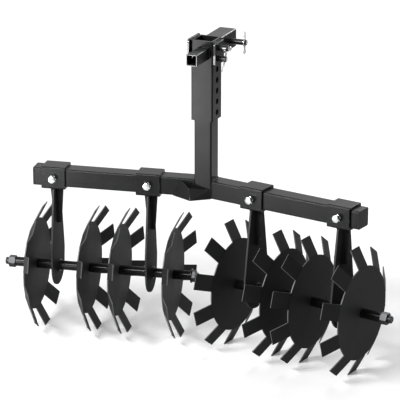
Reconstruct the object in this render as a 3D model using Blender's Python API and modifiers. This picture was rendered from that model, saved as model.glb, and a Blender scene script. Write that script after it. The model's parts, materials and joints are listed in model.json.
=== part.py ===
"""Tow-behind disc harrow: a V-shaped beam on two gangs of notched discs, with a mast and hitch head.

X points right and Y forward, the way the harrow is towed. Z is up from the ground,
and the origin lies on the ground in the middle of the footprint. Each half of the harrow
has a turned frame: its x runs along the gang, outboard on the right and inboard on the left.
"""

from math import acos, asin, atan2, cos, pi, radians, sin, sqrt, tan

import bmesh
import bpy
from mathutils import Matrix, Vector

# Fits
SEAT_GAP = 0.0003
PIN_CLEARANCE = 0.0003
RUNNING_CLEARANCE = 0.0003

# Discs
DISC_DIAMETER = 0.3556
DISC_THICKNESS = 0.003
DISC_DEPTH = 0.0262
FOLD_RADIUS = 0.1288
FINGER_COUNT = 10
FINGER_WIDTH = 0.045
NOTCH_DEPTH = 0.0483
HUB_PLACES = (0.0972, 0.2512, 0.3398, 0.4922)

# Gang shafts
ROD_DIAMETER = 0.021
SPACER_DIAMETER = 0.0267
SPACER_START = 0.045
SPACER_END = 0.5535
NUT_FLATS = 0.030
OUTER_NUT_HEIGHT = 0.020
INNER_NUT_HEIGHT = 0.0115
WASHER_THICKNESS = 0.003
WASHER_DIAMETER = 0.040
OUTER_STUB = 0.0107
INNER_STUB = 0.0075

# Beam
SWEEP = radians(10.0)
BEAM_SIZE = 0.0508
BEAM_WALL = 0.0032
BEAM_CORNER = 0.004
BEAM_END = 0.4905
BEAM_FORWARD = 0.006
BEAM_RISE = 0.2666
CAP_THICKNESS = 0.005
CAP_ROUNDING = 0.002
CAP_PLUG_LENGTH = 0.016

# Collars and their set bolts
COLLAR_SIZE = 0.0635
COLLAR_LENGTH = 0.068
COLLAR_CORNER = 0.005
COLLAR_PLACES = (0.1605, 0.4312)
BOLT_DIAMETER = 0.012
BOLT_FLATS = 0.019
BOLT_HEAD_HEIGHT = 0.0075
LOCK_NUT_HEIGHT = 0.006
LOCK_NUT_STANDOFF = 0.0015

# Bearing legs
LEG_THICKNESS = 0.00635
LEG_TOP_WIDTH = 0.0635
LEG_FLARE_WIDTH = 0.120
LEG_FLARE_HEIGHT = 0.037
LEG_FOOT_RADIUS = 0.0555
RIB_THICKNESS = 0.006
RIB_TOP_REACH = 0.0175
RIB_FOOT_REACH = 0.0105
BACK_RIB_TOP_REACH = 0.0136
BACK_RIB_FOOT_REACH = 0.0040
RIB_FOOT_HEIGHT = 0.128
BUSH_DIAMETER = 0.034
BUSH_LENGTH = 0.018

# Mast and sleeve
MAST_SIZE = 0.0508
MAST_WALL = 0.0048
MAST_CORNER = 0.004
SLEEVE_SIZE = 0.0635
SLEEVE_CORNER = 0.005
SLEEVE_BOTTOM = 0.6410
SLEEVE_LENGTH = 0.2233
PIN_DIAMETER = 0.016
HOLE_COUNT = 7
HOLE_PITCH = 0.030
TOP_HOLE_DROP = 0.0223
MAST_HOLE_COUNT = 2

# Centre gusset
GUSSET_THICKNESS = 0.0045
GUSSET_FOOT_REACH = 0.0862
GUSSET_TOP_REACH = 0.0660
GUSSET_LEFT_HEIGHT = 0.0446
GUSSET_RIGHT_HEIGHT = 0.0276
RIDGE_FOOT_OFFSET = 0.0219
RIDGE_TOP_OFFSET = 0.0325
RIDGE_FOOT_REACH = 0.0373
RIDGE_TOP_REACH = 0.0241
RIDGE_HEIGHT = 0.0325

# Hitch head
DRAWBAR_SIZE = 0.0508
DRAWBAR_WALL = 0.0048
DRAWBAR_CORNER = 0.003
DRAWBAR_DROP = 0.0063
DRAWBAR_LENGTH = 0.118
HITCH_PIN_SETBACK = 0.040
ACCESSORY_SIZE = 0.03175
ACCESSORY_WALL = 0.003
ACCESSORY_CORNER = 0.0025
ACCESSORY_LENGTH = 0.083
ACCESSORY_OFFSET = 0.00625
ACCESSORY_DROP = 0.0167
ACCESSORY_HOLE = 0.009
ACCESSORY_HOLE_SETBACK = 0.0355
PLATE_THICKNESS = 0.00635
PLATE_CORNER = 0.010
LEFT_PLATE_FRONT = 0.043
LEFT_PLATE_RISE = 0.0040
LEFT_PLATE_HEIGHT = 0.071
RIGHT_PLATE_FRONT = 0.029
RIGHT_PLATE_DROP = 0.0073
RIGHT_PLATE_HEIGHT = 0.060
PLATE_BACK = 0.032

# Pins and R-clips
PIN_HEAD_DIAMETER = 0.024
PIN_HEAD_THICKNESS = 0.006
PIN_END_PLAY = 0.0135
UPPER_PIN_EXTRA = 0.0065
PIN_NOSE = 0.0045
HITCH_PIN_NOSE = 0.0040
HITCH_PIN_REACH = 0.0475
CLIP_WIRE = 0.003
CLIP_LENGTH = 0.066
CLIP_BULB = 0.0052
CLIP_NECK = 0.0042
CLIP_SIDE_GAP = 0.00108
CLIP_FLARE = 0.0025
CLIP_TAIL = 0.004
UPPER_CLIP_TILT = radians(77.3)
LOWER_CLIP_TILT = radians(148.0)
LOWER_CLIP_SHIFT = -0.004

# Roundness
ROUND_STEPS = 24
FOOT_STEPS = 16
CLIP_HOLE_STEPS = 12
BULB_STEPS = 10
PIN_STEPS = 20
HOLE_STEPS = 16
CORNER_STEPS = 3
NOTCH_STEPS = 4
WIRE_STEP = 0.0045
SHARP_ANGLE = radians(35.0)
RIM_ANGLE = radians(60.0)

# How many times as long as the wall or tube a cutter is
CUT_THROUGH = 1.5

# Worked out from the sizes above
DISC_RADIUS = DISC_DIAMETER / 2
SHAFT_Z = DISC_RADIUS
BEAM_Z = SHAFT_Z + BEAM_RISE
SLEEVE_TOP = SLEEVE_BOTTOM + SLEEVE_LENGTH
SLEEVE_BORE = MAST_SIZE + 2 * RUNNING_CLEARANCE
PIN_HOLE_RADIUS = PIN_DIAMETER / 2 + PIN_CLEARANCE
TOP_HOLE_Z = SLEEVE_TOP - TOP_HOLE_DROP
LOW_PIN_Z = TOP_HOLE_Z - HOLE_PITCH
MAST_TOP = LOW_PIN_Z - PIN_DIAMETER / 2 - SEAT_GAP
PLATE_INNER = SLEEVE_SIZE / 2 + SEAT_GAP
PLATE_OUTER = PLATE_INNER + PLATE_THICKNESS
DRAWBAR_Z = SLEEVE_TOP - DRAWBAR_DROP - DRAWBAR_SIZE / 2
DRAWBAR_START = SLEEVE_SIZE / 2 + SEAT_GAP
HITCH_PIN_Y = DRAWBAR_START + DRAWBAR_LENGTH - HITCH_PIN_SETBACK
CLIP_CLEARANCE = CLIP_WIRE / 2 + PIN_CLEARANCE

STEEL_BLACK = ("black_powder_coat", (0.045, 0.046, 0.048), 0.42, 0.35)
STEEL_DISC = ("disc_black", (0.055, 0.056, 0.058), 0.50, 0.40)
ZINC = ("zinc_plate", (0.72, 0.73, 0.74), 0.30, 1.0)
PLASTIC = ("black_plastic", (0.05, 0.05, 0.052), 0.50, 0.0)
PIN_STEEL = ("dark_pin_steel", (0.10, 0.10, 0.105), 0.38, 0.8)

OBJECT_NAME = "disc_harrow"


# Scene set-up
def clear_scene():
    for item in list(bpy.data.objects):
        bpy.data.objects.remove(item, do_unlink=True)


def collection(name):
    found = bpy.data.collections.get(name)
    if found is None:
        found = bpy.data.collections.new(name)
        bpy.context.scene.collection.children.link(found)
    return found


def material(node_name, finish):
    label, colour, roughness, metallic = finish
    made = bpy.data.materials.new(f"{label}_{node_name}")
    made.use_nodes = True
    shader = made.node_tree.nodes["Principled BSDF"]
    shader.inputs["Base Color"].default_value = (*colour, 1.0)
    shader.inputs["Roughness"].default_value = roughness
    shader.inputs["Metallic"].default_value = metallic
    return made


def new_object(name, mesh, finish, place, cutter=False):
    made = bpy.data.objects.new(name, mesh)
    collection("cutters" if cutter else OBJECT_NAME).objects.link(made)
    if cutter:
        made.hide_render = True
        made.display_type = "WIRE"
    else:
        mesh.materials.clear()
        mesh.materials.append(material(name, finish))
        mesh.shade_smooth()
        mesh.set_sharp_from_angle(angle=SHARP_ANGLE)
    parent, offset, turn = place
    made.matrix_basis = Matrix.Translation(offset) @ turn
    made.parent = parent
    return made


def at(parent, offset=(0, 0, 0), turn=None):
    return parent, Vector(offset), turn or Matrix.Identity(4)


def empty(name, location, yaw=0.0, parent=None):
    made = bpy.data.objects.new(name, None)
    collection(OBJECT_NAME).objects.link(made)
    made.location = location
    made.rotation_euler = (0.0, 0.0, yaw)
    made.parent = parent
    return made


# Outlines
def arc(centre, radius, start, end, steps):
    turns = [start + (end - start) * step / steps for step in range(steps + 1)]
    return [(centre[0] + radius * cos(turn), centre[1] + radius * sin(turn)) for turn in turns]


def circle(radius, steps=ROUND_STEPS, centre=(0.0, 0.0)):
    return arc(centre, radius, 0.0, 2 * pi, steps)[:-1]


def hexagon(flats):
    return circle(flats / sqrt(3.0), 6)


def rounded_box(left, right, bottom, top, radii):
    """Corner radii in the order bottom left, bottom right, top right, top left."""
    corners = ((left, bottom, pi), (right, bottom, 1.5 * pi), (right, top, 0.0), (left, top, 0.5 * pi))
    points = []
    for (x, y, start), radius in zip(corners, radii):
        if not radius:
            points.append((x, y))
            continue
        centre = (x + radius * (1 if x == left else -1), y + radius * (1 if y == bottom else -1))
        points += arc(centre, radius, start, start + pi / 2, CORNER_STEPS)
    return points


def square(size, corner=0.0):
    return rounded_box(-size / 2, size / 2, -size / 2, size / 2, (corner,) * 4)


# Turns from an outline's own plane to the plane across an axis
ACROSS = {
    "X": Matrix(((0, 0, 1, 0), (1, 0, 0, 0), (0, 1, 0, 0), (0, 0, 0, 1))),
    "Y": Matrix(((1, 0, 0, 0), (0, 0, -1, 0), (0, 1, 0, 0), (0, 0, 0, 1))),
    "Z": Matrix.Identity(4),
}


def curve_mesh(name, curve):
    """Turn a curve into a welded mesh and remove the curve."""
    holder = bpy.data.objects.new(name, curve)
    bpy.context.scene.collection.objects.link(holder)
    bpy.context.view_layer.update()
    evaluated = holder.evaluated_get(bpy.context.evaluated_depsgraph_get())
    mesh = bpy.data.meshes.new_from_object(evaluated)
    bpy.data.objects.remove(holder, do_unlink=True)
    bpy.data.curves.remove(curve)
    shape = bmesh.new()
    shape.from_mesh(mesh)
    bmesh.ops.remove_doubles(shape, verts=shape.verts, dist=0.000001)
    bmesh.ops.recalc_face_normals(shape, faces=shape.faces)
    shape.to_mesh(mesh)
    shape.free()
    mesh.name = name
    return mesh


def extruded(name, loops, depth, axis, centre=0.0):
    """A flat outline with holes, as thick as depth, centred at a place on the axis."""
    curve = bpy.data.curves.new(name, "CURVE")
    curve.dimensions = "2D"
    curve.fill_mode = "BOTH"
    curve.extrude = depth / 2
    for points in loops:
        spline = curve.splines.new("POLY")
        spline.points.add(len(points) - 1)
        for point, (x, y) in zip(spline.points, points):
            point.co = (x, y, 0.0, 1.0)
        spline.use_cyclic_u = True
    mesh = curve_mesh(name, curve)
    mesh.transform(ACROSS[axis] @ Matrix.Translation((0.0, 0.0, centre * (-1 if axis == "Y" else 1))))
    return mesh


def wire(name, points, diameter):
    """A round wire through a list of points."""
    curve = bpy.data.curves.new(name, "CURVE")
    curve.dimensions = "3D"
    curve.bevel_depth = diameter / 2
    curve.bevel_resolution = 1
    curve.use_fill_caps = True
    spline = curve.splines.new("POLY")
    spline.points.add(len(points) - 1)
    for point, place in zip(spline.points, points):
        point.co = (*place, 1.0)
    return curve_mesh(name, curve)


def joined(meshes, name):
    """Several separate solids in one mesh."""
    shape = bmesh.new()
    for mesh in meshes:
        shape.from_mesh(mesh)
    made = bpy.data.meshes.new(name)
    shape.to_mesh(made)
    shape.free()
    return made


def boolean(target, mesh, operation, place, label):
    """Cut, join or intersect the target with a mesh kept among the cutters."""
    cutter = new_object(f"{target.name}_{label}", mesh, None, place, cutter=True)
    modifier = target.modifiers.new(label, "BOOLEAN")
    modifier.object = cutter
    modifier.operation = operation
    modifier.solver = "EXACT"
    return cutter


# Places along a gang
def side_name(side):
    return "right" if side > 0 else "left"


def footprint_middle():
    """How far forward of the mast the middle of the discs' footprint lies."""
    finger_turn = pi / FINGER_COUNT
    swing = DISC_RADIUS * cos(finger_turn) + FINGER_WIDTH / 2 * sin(finger_turn)
    back = BEAM_FORWARD - (HUB_PLACES[-1] - DISC_DEPTH) * sin(SWEEP) - swing * cos(SWEEP)
    front = BEAM_FORWARD - (HUB_PLACES[0] - DISC_DEPTH) * sin(SWEEP) + swing * cos(SWEEP)
    return (back + front) / 2


# Frame
def beam(side):
    name = f"beam_{side_name(side)}"
    reach = BEAM_END - CAP_THICKNESS - SEAT_GAP
    loops = [square(BEAM_SIZE, BEAM_CORNER), square(BEAM_SIZE - 2 * BEAM_WALL, BEAM_CORNER - BEAM_WALL)]
    mesh = extruded(name, loops, reach, "X", side * reach / 2)
    tube = new_object(name, mesh, STEEL_BLACK, at(BEAM_FRAME[side]))
    block = extruded(name, [square(MAST_SIZE + 2 * SEAT_GAP)], CUT_THROUGH * BEAM_SIZE, "Z")
    boolean(tube, block, "DIFFERENCE", at(STAND, (0.0, 0.0, BEAM_Z)), "mast_seat")


def end_cap(side):
    name = f"end_cap_{side_name(side)}"
    flange = extruded(name, [square(BEAM_SIZE, BEAM_CORNER)], CAP_THICKNESS, "X")
    place = at(BEAM_FRAME[side], (side * (BEAM_END - CAP_THICKNESS / 2), 0, 0))
    cap = new_object(name, flange, PLASTIC, place)
    bevel = cap.modifiers.new("rounded_rim", "BEVEL")
    bevel.width = CAP_ROUNDING
    bevel.segments = 2
    bevel.limit_method = "ANGLE"
    bevel.angle_limit = RIM_ANGLE
    bore = BEAM_SIZE - 2 * BEAM_WALL - 2 * SEAT_GAP
    length = CAP_PLUG_LENGTH + CAP_THICKNESS / 2
    plug = extruded(name, [square(bore)], length, "X")
    middle = BEAM_END - CAP_THICKNESS / 2 - length / 2
    boolean(cap, plug, "UNION", at(BEAM_FRAME[side], (side * middle, 0, 0)), "plug")


def mast():
    bottom = BEAM_Z - BEAM_SIZE / 2
    loops = [square(MAST_SIZE, MAST_CORNER), square(MAST_SIZE - 2 * MAST_WALL)]
    mesh = extruded("mast_tube", loops, MAST_TOP - bottom, "Z", (MAST_TOP + bottom) / 2)
    tube = new_object("mast_tube", mesh, STEEL_BLACK, at(STAND))
    first = LOW_PIN_Z - HOLE_PITCH
    boolean(tube, cross_holes(first, MAST_HOLE_COUNT, MAST_SIZE), "DIFFERENCE", at(STAND), "pin_holes")


def cross_holes(top, count, width):
    """A row of round cutters along X, one pitch apart, down from the top one."""
    places = [(0.0, top - HOLE_PITCH * index) for index in range(count)]
    rounds = [circle(PIN_HOLE_RADIUS, HOLE_STEPS, place) for place in places]
    return joined([extruded("hole", [outline], CUT_THROUGH * width, "X") for outline in rounds], "holes")


def beam_front(reach_x):
    """How far forward a beam half's viewer-side face lies at a distance from the middle."""
    return BEAM_FORWARD - BEAM_SIZE / 2 / cos(SWEEP) - reach_x * tan(SWEEP)


def meeting(start, along, other_start, other_along):
    """Where two straight lines in a plane cross."""
    spread = along.cross(other_along)
    return start + along * ((other_start - start).cross(other_along) / spread)


def folded_plate(left, ridge, right):
    """Outside and inside corners of a plate folded at its ridge, cut flush where it meets the frame."""
    first = (ridge - left).normalized()
    second = (right - ridge).normalized()
    inward = Vector((-first.y, first.x)) * GUSSET_THICKNESS
    inward_second = Vector((-second.y, second.x)) * GUSSET_THICKNESS
    beam_face = Vector((cos(SWEEP), sin(SWEEP)))
    mast_face = Vector((1.0, 0.0))
    inner_left = meeting(left, beam_face, left + inward, first)
    inner_ridge = meeting(left + inward, first, right + inward_second, second)
    inner_right = meeting(right, mast_face, right + inward_second, second)
    return [left, ridge, right, inner_right, inner_ridge, inner_left]


def gusset():
    """A folded plate from the left beam half round the front of the mast, leaning back to its top."""
    bottom = BEAM_Z - BEAM_SIZE / 2
    front = -MAST_SIZE / 2 - SEAT_GAP
    rows = []
    for reach, ridge_x, ridge_reach in (
        (GUSSET_FOOT_REACH, RIDGE_FOOT_OFFSET, RIDGE_FOOT_REACH),
        (GUSSET_TOP_REACH, RIDGE_TOP_OFFSET, RIDGE_TOP_REACH),
    ):
        left = Vector((-reach, beam_front(reach) - SEAT_GAP / cos(SWEEP)))
        ridge = Vector((-ridge_x, -MAST_SIZE / 2 - ridge_reach))
        rows.append(folded_plate(left, ridge, Vector((MAST_SIZE / 2, front))))
    heights = (GUSSET_LEFT_HEIGHT, RIDGE_HEIGHT, GUSSET_RIGHT_HEIGHT)
    shape = bmesh.new()
    foot = [shape.verts.new((corner.x, corner.y, bottom)) for corner in rows[0]]
    head = [
        shape.verts.new((corner.x, corner.y, bottom + height))
        for corner, height in zip(rows[1], heights + heights[::-1])
    ]
    for index in range(6):
        after = (index + 1) % 6
        shape.faces.new((foot[index], foot[after], head[after], head[index]))
    for row in (foot, head):
        shape.faces.new((row[0], row[1], row[4], row[5]))
        shape.faces.new((row[1], row[2], row[3], row[4]))
    bmesh.ops.triangulate(shape, faces=shape.faces)
    bmesh.ops.recalc_face_normals(shape, faces=shape.faces)
    mesh = bpy.data.meshes.new("centre_gusset")
    shape.to_mesh(mesh)
    shape.free()
    new_object("centre_gusset", mesh, STEEL_BLACK, at(STAND))


# Hitch head
def sleeve():
    loops = [square(SLEEVE_SIZE, SLEEVE_CORNER), square(SLEEVE_BORE)]
    mesh = extruded("mast_sleeve", loops, SLEEVE_LENGTH, "Z", SLEEVE_BOTTOM + SLEEVE_LENGTH / 2)
    tube = new_object("mast_sleeve", mesh, STEEL_BLACK, at(HEAD_FRAME))
    boolean(tube, cross_holes(TOP_HOLE_Z, HOLE_COUNT, SLEEVE_SIZE), "DIFFERENCE", at(HEAD_FRAME), "pin_holes")


def drawbar():
    loops = [square(DRAWBAR_SIZE, DRAWBAR_CORNER), square(DRAWBAR_SIZE - 2 * DRAWBAR_WALL)]
    mesh = extruded("drawbar_tube", loops, DRAWBAR_LENGTH, "Y", DRAWBAR_START + DRAWBAR_LENGTH / 2)
    tube = new_object("drawbar_tube", mesh, STEEL_BLACK, at(HEAD_FRAME, (0, 0, DRAWBAR_Z)))
    hole = extruded("hole", [circle(PIN_HOLE_RADIUS, HOLE_STEPS)], CUT_THROUGH * DRAWBAR_SIZE, "X")
    boolean(tube, hole, "DIFFERENCE", at(HEAD_FRAME, (0, HITCH_PIN_Y, DRAWBAR_Z)), "pin_hole")


def accessory_tube():
    loops = [square(ACCESSORY_SIZE, ACCESSORY_CORNER), square(ACCESSORY_SIZE - 2 * ACCESSORY_WALL)]
    middle = -SLEEVE_SIZE / 2 - SEAT_GAP - ACCESSORY_LENGTH / 2
    height = SLEEVE_TOP - ACCESSORY_DROP - ACCESSORY_SIZE / 2
    mesh = extruded("accessory_tube", loops, ACCESSORY_LENGTH, "Y", middle)
    tube = new_object("accessory_tube", mesh, STEEL_BLACK, at(HEAD_FRAME, (ACCESSORY_OFFSET, 0, height)))
    hole = extruded("hole", [circle(ACCESSORY_HOLE / 2, HOLE_STEPS)], CUT_THROUGH * ACCESSORY_SIZE, "X")
    setback = middle - ACCESSORY_LENGTH / 2 + ACCESSORY_HOLE_SETBACK
    boolean(tube, hole, "DIFFERENCE", at(HEAD_FRAME, (ACCESSORY_OFFSET, setback, height)), "cross_hole")


def side_plate(side):
    name = f"side_plate_{side_name(side)}"
    front = RIGHT_PLATE_FRONT if side > 0 else LEFT_PLATE_FRONT
    top = SLEEVE_TOP + (-RIGHT_PLATE_DROP if side > 0 else LEFT_PLATE_RISE)
    height = RIGHT_PLATE_HEIGHT if side > 0 else LEFT_PLATE_HEIGHT
    corner = PLATE_CORNER / 2 if side > 0 else PLATE_CORNER
    outline = rounded_box(-front, PLATE_BACK, top - height, top, (corner, 0.0, 0.0, corner))
    holes = [circle(PIN_HOLE_RADIUS, HOLE_STEPS, (0.0, height_z)) for height_z in (TOP_HOLE_Z, LOW_PIN_Z)]
    mesh = extruded(name, [outline, *holes], PLATE_THICKNESS, "X", side * (PLATE_INNER + PLATE_THICKNESS / 2))
    new_object(name, mesh, STEEL_BLACK, at(HEAD_FRAME))


# Pins and clips
def pin(name, frame, seat, clip_place, nose, turn):
    """A headed pin along X, with a cross hole for its clip turned about X."""
    tip = clip_place + CLIP_WIRE / 2 + nose
    shank = extruded(name, [circle(PIN_DIAMETER / 2, PIN_STEPS)], tip - seat + PIN_HEAD_THICKNESS / 2, "X")
    shank.transform(Matrix.Translation(((tip + seat - PIN_HEAD_THICKNESS / 2) / 2, 0.0, 0.0)))
    made = new_object(name, shank, PIN_STEEL, at(frame))
    head = extruded(name, [circle(PIN_HEAD_DIAMETER / 2, PIN_STEPS)], PIN_HEAD_THICKNESS, "X")
    boolean(made, head, "UNION", at(frame, (seat - PIN_HEAD_THICKNESS / 2, 0, 0)), "head")
    hole = extruded(name, [circle(CLIP_CLEARANCE, CLIP_HOLE_STEPS)], CUT_THROUGH * PIN_DIAMETER, "Z")
    across = at(frame, (clip_place, 0, 0), Matrix.Rotation(turn, 4, "X"))
    boolean(made, hole, "DIFFERENCE", across, "clip_hole")


def clip_points(shift):
    """The middle line of an R-clip in its own plane: straight leg, bulb and waisted leg."""
    top = CLIP_LENGTH / 2 - shift
    bulb_z = -CLIP_LENGTH / 2 - shift + CLIP_BULB + CLIP_WIRE / 2
    middle = -CLIP_NECK / 2
    opening = asin(CLIP_NECK / 2 / CLIP_BULB)
    waist = PIN_DIAMETER / 2 + CLIP_CLEARANCE + CLIP_SIDE_GAP
    span = 2.0 * PIN_DIAMETER
    points = [(0.0, 0.0, top), (0.0, 0.0, bulb_z + CLIP_BULB + CLIP_WIRE)]
    sweep = 2 * pi - 2 * opening
    turns = [pi / 2 - opening - sweep * step / BULB_STEPS for step in range(BULB_STEPS + 1)]
    points += [(0.0, middle + CLIP_BULB * cos(turn), bulb_z + CLIP_BULB * sin(turn)) for turn in turns]
    steps = int(span / WIRE_STEP) + 1
    for step in range(steps + 1):
        z = -span / 2 + span * step / steps
        bump = (1 + cos(2 * pi * z / span)) / 2
        points.append((0.0, -CLIP_NECK - (waist - CLIP_NECK) * bump, z))
    points.append((0.0, -CLIP_NECK - CLIP_FLARE, span / 2 + CLIP_TAIL))
    return points


def clip(name, frame, clip_place, turn, shift=0.0):
    mesh = wire(name, clip_points(shift), CLIP_WIRE)
    new_object(name, mesh, ZINC, at(frame, (clip_place, 0, 0), Matrix.Rotation(turn, 4, "X")))


# Gang frames
def collar(side, number, place):
    name = f"collar_{number}"
    loops = [square(COLLAR_SIZE, COLLAR_CORNER), square(BEAM_SIZE + 2 * SEAT_GAP)]
    mesh = extruded(name, loops, COLLAR_LENGTH, "X")
    made = new_object(name, mesh, STEEL_BLACK, at(BEAM_FRAME[side], (side * place, 0, 0)))
    hole = extruded(name, [circle(BOLT_DIAMETER / 2 + SEAT_GAP, HOLE_STEPS)], COLLAR_SIZE - BEAM_SIZE, "Y")
    boolean(made, hole, "DIFFERENCE", at(BEAM_FRAME[side], (side * place, -COLLAR_SIZE / 2, 0)), "bolt_hole")


def set_bolt(side, number, place):
    """A hex-headed bolt through the collar's wall to the beam, with its lock nut run down on it."""
    name = f"set_bolt_{number}"
    tip = -BEAM_SIZE / 2 - SEAT_GAP
    nut_seat = -COLLAR_SIZE / 2 - SEAT_GAP
    head_seat = nut_seat - LOCK_NUT_HEIGHT - LOCK_NUT_STANDOFF
    length = tip - head_seat + BOLT_HEAD_HEIGHT / 2
    shank = extruded(name, [circle(BOLT_DIAMETER / 2, HOLE_STEPS)], length, "Y", tip - length / 2)
    made = new_object(name, shank, ZINC, at(BEAM_FRAME[side], (side * place, 0, 0)))
    head = extruded(name, [hexagon(BOLT_FLATS)], BOLT_HEAD_HEIGHT, "Y", head_seat - BOLT_HEAD_HEIGHT / 2)
    boolean(made, head, "UNION", at(BEAM_FRAME[side], (side * place, 0, 0)), "head")
    nut = extruded(name, [hexagon(BOLT_FLATS)], LOCK_NUT_HEIGHT, "Y", nut_seat - LOCK_NUT_HEIGHT / 2)
    boolean(made, nut, "UNION", at(BEAM_FRAME[side], (side * place, 0, 0)), "lock_nut")


def leg_outline():
    """Flared plate: square top, widest above the shaft, round foot about the shaft."""
    top = BEAM_RISE - COLLAR_SIZE / 2 - SEAT_GAP
    flare = Vector((LEG_FLARE_WIDTH / 2, LEG_FLARE_HEIGHT))
    touch = atan2(flare.y, flare.x) - acos(LEG_FOOT_RADIUS / flare.length)
    foot = arc((0.0, 0.0), LEG_FOOT_RADIUS, -pi - touch, touch, FOOT_STEPS)
    sides = [(flare.x, flare.y), (LEG_TOP_WIDTH / 2, top), (-LEG_TOP_WIDTH / 2, top), (-flare.x, flare.y)]
    return foot + sides


def leg(side, number, place):
    name = f"leg_{number}"
    bore = circle(BUSH_DIAMETER / 2 + SEAT_GAP)
    mesh = extruded(name, [leg_outline(), bore], LEG_THICKNESS, "X")
    made = new_object(name, mesh, STEEL_BLACK, at(SHAFT_FRAME[side], (side * place, 0, 0)))
    top = BEAM_RISE - COLLAR_SIZE / 2 - SEAT_GAP
    face = LEG_THICKNESS / 2
    outline = [
        (-face - BACK_RIB_FOOT_REACH, RIB_FOOT_HEIGHT),
        (face + RIB_FOOT_REACH, RIB_FOOT_HEIGHT),
        (face + RIB_TOP_REACH, top),
        (-face - BACK_RIB_TOP_REACH, top),
    ]
    ribs = extruded(name, [outline], RIB_THICKNESS, "Y")
    boolean(made, ribs, "UNION", at(SHAFT_FRAME[side], (side * place, 0, 0)), "ribs")


def bush(side, number, place):
    name = f"bush_{number}"
    loops = [circle(BUSH_DIAMETER / 2), circle(SPACER_DIAMETER / 2 + RUNNING_CLEARANCE)]
    mesh = extruded(name, loops, BUSH_LENGTH, "X")
    new_object(name, mesh, PIN_STEEL, at(SHAFT_FRAME[side], (side * place, 0, 0)))


# Turning gangs
def shaft(side):
    name = f"gang_shaft_{side_name(side)}"
    start = SPACER_START - WASHER_THICKNESS - INNER_NUT_HEIGHT - INNER_STUB
    end = SPACER_END + OUTER_NUT_HEIGHT + OUTER_STUB
    mesh = extruded(name, [circle(ROD_DIAMETER / 2)], end - start, "X", side * (start + end) / 2)
    new_object(name, mesh, PIN_STEEL, at(SHAFT_FRAME[side]))


def spacers(side):
    """Spacer tubes fill the shaft between the disc hubs and the end nuts."""
    edge = SEAT_GAP + DISC_THICKNESS / 2
    starts = [SPACER_START] + [place + edge for place in HUB_PLACES]
    ends = [place - edge for place in HUB_PLACES] + [SPACER_END]
    for index, (start, end) in enumerate(zip(starts, ends)):
        name = f"spacer_tube_{side_name(side)}_{index + 1}"
        loops = [circle(SPACER_DIAMETER / 2), circle(ROD_DIAMETER / 2 + SEAT_GAP)]
        mesh = extruded(name, loops, end - start, "X", side * (start + end) / 2)
        new_object(name, mesh, STEEL_BLACK, at(SHAFT_FRAME[side]))


def shaft_ring(name, side, outline, start, end):
    """A nut or washer round the shaft between two places along it."""
    loops = [outline, circle(ROD_DIAMETER / 2 + SEAT_GAP)]
    mesh = extruded(name, loops, end - start, "X", side * (start + end) / 2)
    new_object(name, mesh, PIN_STEEL, at(SHAFT_FRAME[side]))


def washer_and_nuts(side):
    where = side_name(side)
    washer_end = SPACER_START - SEAT_GAP
    washer_start = washer_end - WASHER_THICKNESS
    shaft_ring(f"shaft_washer_{where}", side, circle(WASHER_DIAMETER / 2), washer_start, washer_end)
    inner_end = washer_start - SEAT_GAP
    shaft_ring(f"inner_nut_{where}", side, hexagon(NUT_FLATS), inner_end - INNER_NUT_HEIGHT, inner_end)
    outer_start = SPACER_END + SEAT_GAP
    shaft_ring(f"outer_nut_{where}", side, hexagon(NUT_FLATS), outer_start, outer_start + OUTER_NUT_HEIGHT)


def bent_plate(name):
    """Ten-sided plate with a flat middle. Past its straight folds it slopes back, beyond the finger tips."""
    half = DISC_THICKNESS / 2
    lean = atan2(DISC_DEPTH, DISC_RADIUS - FOLD_RADIUS)
    mitre = half * tan(lean / 2)
    skirt = DISC_RADIUS + DISC_THICKNESS
    drop = (skirt - FOLD_RADIUS) * tan(lean)
    section = (
        (FOLD_RADIUS + mitre, -half),
        (skirt, drop - half / cos(lean)),
        (skirt, drop + half / cos(lean)),
        (FOLD_RADIUS - mitre, half),
    )
    step = 2 * pi / FINGER_COUNT
    turns = [-pi / 2 + (index + 0.5) * step for index in range(FINGER_COUNT)]
    shape = bmesh.new()
    rings = []
    for reach, place in section:
        corner = reach / cos(step / 2)
        rings.append([shape.verts.new((place, corner * cos(turn), corner * sin(turn))) for turn in turns])
    for first, second in zip(rings, rings[1:]):
        for index in range(FINGER_COUNT):
            after = (index + 1) % FINGER_COUNT
            shape.faces.new((first[index], first[after], second[after], second[index]))
    shape.faces.new(rings[0])
    shape.faces.new(rings[-1])
    bmesh.ops.recalc_face_normals(shape, faces=shape.faces)
    mesh = bpy.data.meshes.new(name)
    shape.to_mesh(mesh)
    shape.free()
    return mesh


def finger_outline():
    """Straight-sided fingers with flat tips, one pointing straight down, and round notch bottoms."""
    half = FINGER_WIDTH / 2
    root = DISC_RADIUS - NOTCH_DEPTH
    step = 2 * pi / FINGER_COUNT
    notch = step - 2 * asin(half / root)
    root_reach = sqrt(root**2 - half**2)
    corners = ((root_reach, -half), (DISC_RADIUS, -half), (DISC_RADIUS, half), (root_reach, half))
    points = []
    for index in range(FINGER_COUNT):
        turn = -pi / 2 + index * step
        along = Vector((cos(turn), sin(turn)))
        across = Vector((-sin(turn), cos(turn)))
        points += [tuple(along * reach + across * aside) for reach, aside in corners]
        start = turn + (step - notch) / 2
        points += arc((0.0, 0.0), root, start, start + notch, NOTCH_STEPS)[1:-1]
    return points


def disc(side, number, place):
    name = f"disc_{number}"
    blade = bent_plate(name)
    if side > 0:
        blade.transform(Matrix.Rotation(pi, 4, "Z"))
    made = new_object(name, blade, STEEL_DISC, at(SHAFT_FRAME[side], (side * place, 0, 0)))
    outlines = [finger_outline(), circle(ROD_DIAMETER / 2 + SEAT_GAP)]
    outline = extruded(name, outlines, 4 * DISC_DEPTH, "X")
    boolean(made, outline, "INTERSECT", at(SHAFT_FRAME[side], (side * place, 0, 0)), "fingers")


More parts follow.
